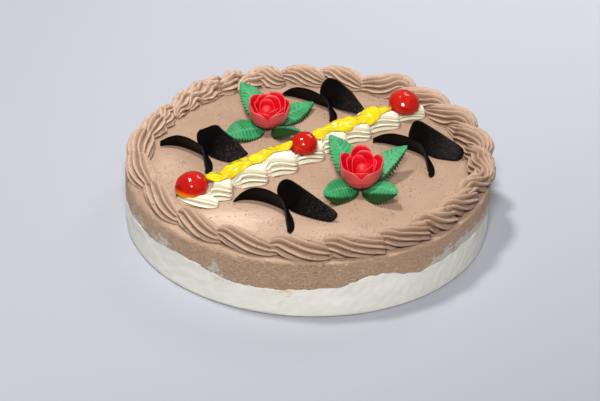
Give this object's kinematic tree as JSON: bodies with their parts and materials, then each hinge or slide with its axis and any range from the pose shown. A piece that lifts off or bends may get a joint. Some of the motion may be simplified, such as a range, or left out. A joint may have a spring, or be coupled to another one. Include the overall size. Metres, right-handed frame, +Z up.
{
  "type": "chocolate truffle cake",
  "caption": "Round layered mousse cake with a piped chocolate border, a line of cream with jelly and cherries, sugar roses with leaves and bent chocolate pieces.",
  "frame": {"origin": "centre of the cake's underside", "axes": "+Z up; -Y towards the viewer, +X to the viewer's right"},
  "size_m": [0.24, 0.24, 0.0672],
  "materials": {
    "mousse_white": "matt white chocolate mousse",
    "mousse_chocolate": "matt milk chocolate mousse",
    "cream": "satin piped cream",
    "jelly": "glossy yellow fruit jelly",
    "cherry": "glossy glace cherry",
    "rose": "satin sugar paste",
    "leaf": "matt sugar wafer",
    "chocolate": "satin dark chocolate"
  },
  "bodies": {
    "root": {"layer_white": "mousse_white", "layer_chocolate": "mousse_chocolate", "border": "mousse_chocolate", "cream": "cream", "jelly_left": "jelly", "jelly_right": "jelly", "cherry_left": "cherry", "cherry_middle": "cherry", "cherry_right": "cherry", "rose_back": "rose", "rose_front": "rose", "leaf_back_a": "leaf", "leaf_back_b": "leaf", "leaf_back_c": "leaf", "leaf_back_d": "leaf", "leaf_front_a": "leaf", "leaf_front_b": "leaf", "leaf_front_c": "leaf", "leaf_front_d": "leaf", "strip_left": "chocolate", "strip_back": "chocolate", "strip_front": "chocolate", "strip_right": "chocolate", "shard_left": "chocolate", "shard_back": "chocolate", "shard_front": "chocolate", "shard_right": "chocolate"}
  },
  "joints": []
}
